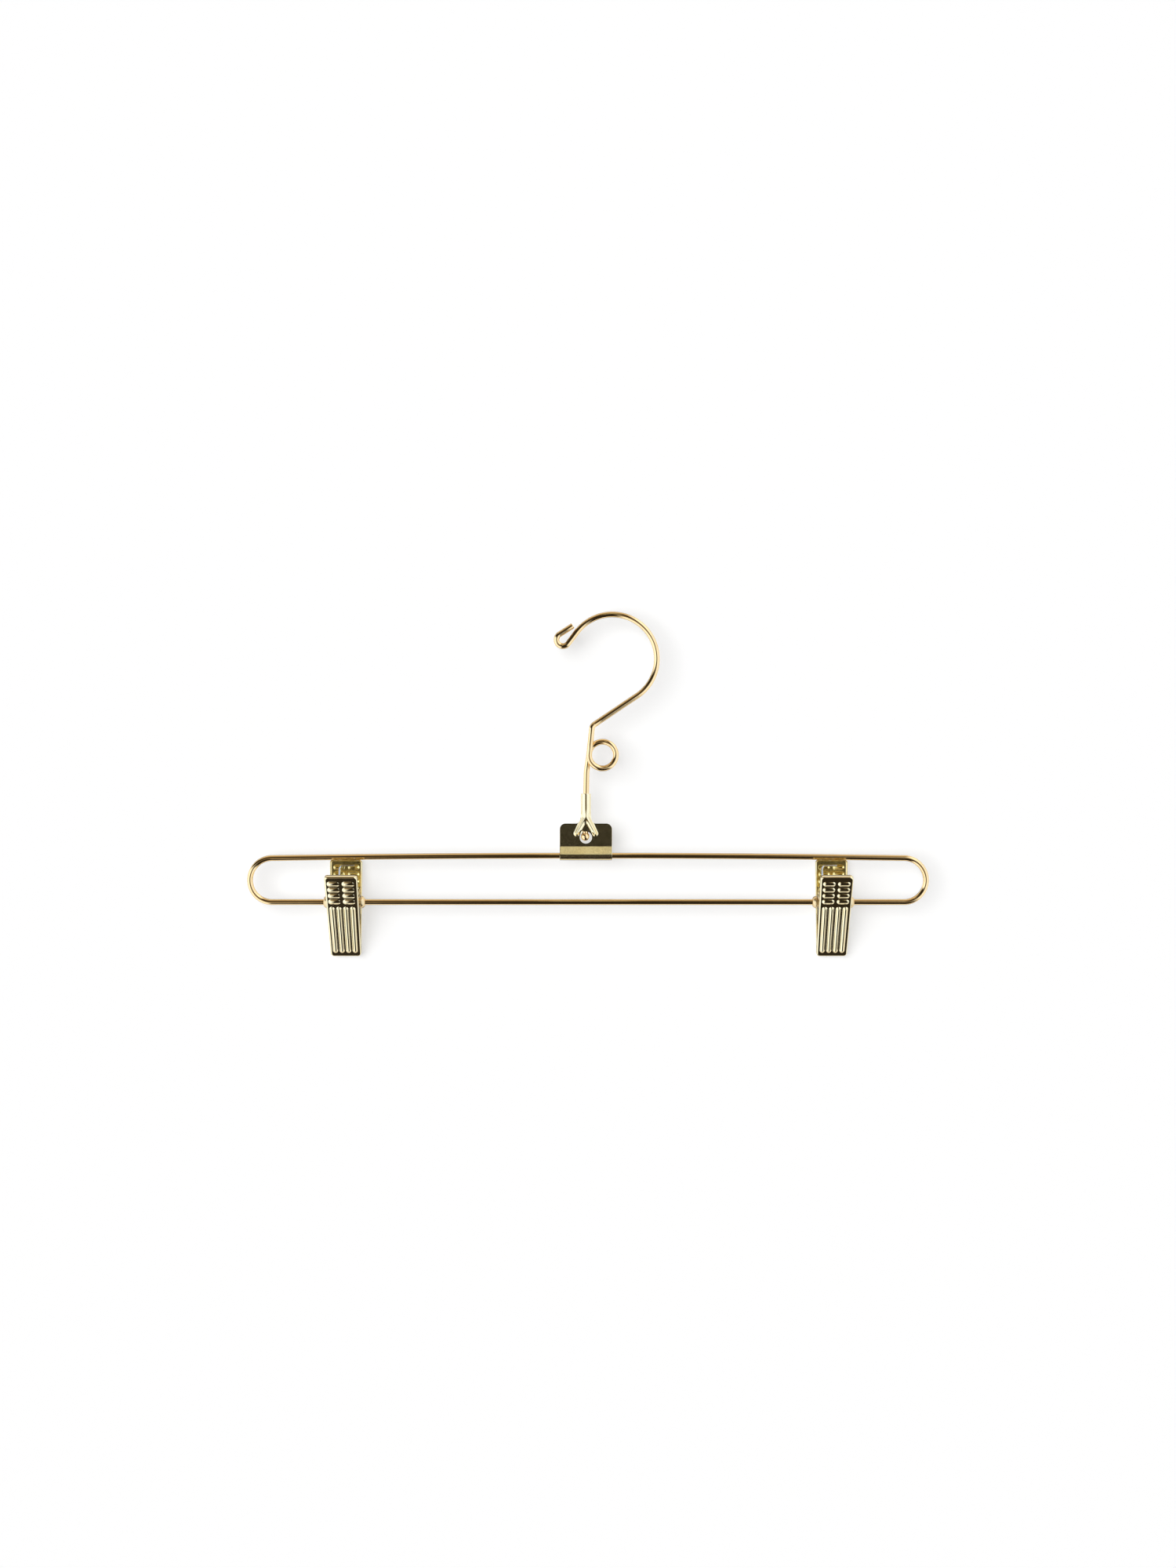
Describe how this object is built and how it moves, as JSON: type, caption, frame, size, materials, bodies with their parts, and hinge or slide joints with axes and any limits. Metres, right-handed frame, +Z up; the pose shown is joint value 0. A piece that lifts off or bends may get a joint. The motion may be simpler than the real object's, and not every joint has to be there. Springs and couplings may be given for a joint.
{
  "type": "clip hanger",
  "caption": "Wire hanger with a looped swivel hook, a folded sheet bracket, a long wire frame and sprung sheet clips that slide along its lower wire to grip a skirt or trousers.",
  "frame": {"origin": "inside crest of the hook, where a rail touches it", "axes": "+Z up with the hanger hanging, +X along the frame towards the right clip, -Y towards the viewer and the clips' front jaws"},
  "size_m": [0.3499, 0.0288, 0.1774],
  "materials": {
    "hook_wire": "polished gold plating on round wire",
    "frame_wire": "polished gold plating on round wire",
    "bracket_sheet": "polished pale gold plating on pressed sheet",
    "clip_sheet": "polished pale gold plating on pressed sheet",
    "spring_wire": "bright nickel on spring wire"
  },
  "bodies": {
    "hook": {"hook": "hook_wire"},
    "frame": {"bracket": "bracket_sheet", "frame_wire": "frame_wire"},
    "left_pivot": {"left_pivot_eyelet": "clip_sheet"},
    "left_back": {"left_back_jaw": "clip_sheet", "left_spring": "spring_wire"},
    "left_front": {"left_front_jaw": "clip_sheet"},
    "right_pivot": {"right_pivot_eyelet": "clip_sheet"},
    "right_back": {"right_back_jaw": "clip_sheet", "right_spring": "spring_wire"},
    "right_front": {"right_front_jaw": "clip_sheet"}
  },
  "joints": [
    {"name": "hook_swivel", "type": "hinge", "parent": "hook", "child": "frame", "pos_m": [-0.01391, 0, -0.11246], "axis": [0.0209, 0, 0.9998], "continuous": true},
    {"name": "left_slide", "type": "slide", "parent": "frame", "child": "left_pivot", "axis": [1, 0, 0], "range_m": [-0.025, 0.095]},
    {"name": "left_swing", "type": "hinge", "parent": "left_pivot", "child": "left_back", "pos_m": [-0.13751, 0, -0.14616], "axis": [-1, 0, 0], "range_deg": [-12, 18]},
    {"name": "left_open", "type": "hinge", "parent": "left_back", "child": "left_front", "pos_m": [-0.13751, 0, -0.14616], "axis": [-1, 0, 0], "range_deg": [0, 26], "stiffness_Nm_per_rad": 0.114, "springref_deg": -100.27, "deforming": ["left_spring"]},
    {"name": "right_slide", "type": "slide", "parent": "frame", "child": "right_pivot", "axis": [1, 0, 0], "range_m": [-0.095, 0.023]},
    {"name": "right_swing", "type": "hinge", "parent": "right_pivot", "child": "right_back", "pos_m": [0.11339, 0, -0.14616], "axis": [-1, 0, 0], "range_deg": [-12, 18]},
    {"name": "right_open", "type": "hinge", "parent": "right_back", "child": "right_front", "pos_m": [0.11339, 0, -0.14616], "axis": [-1, 0, 0], "range_deg": [0, 26], "stiffness_Nm_per_rad": 0.114, "springref_deg": -100.27, "deforming": ["right_spring"]}
  ]
}
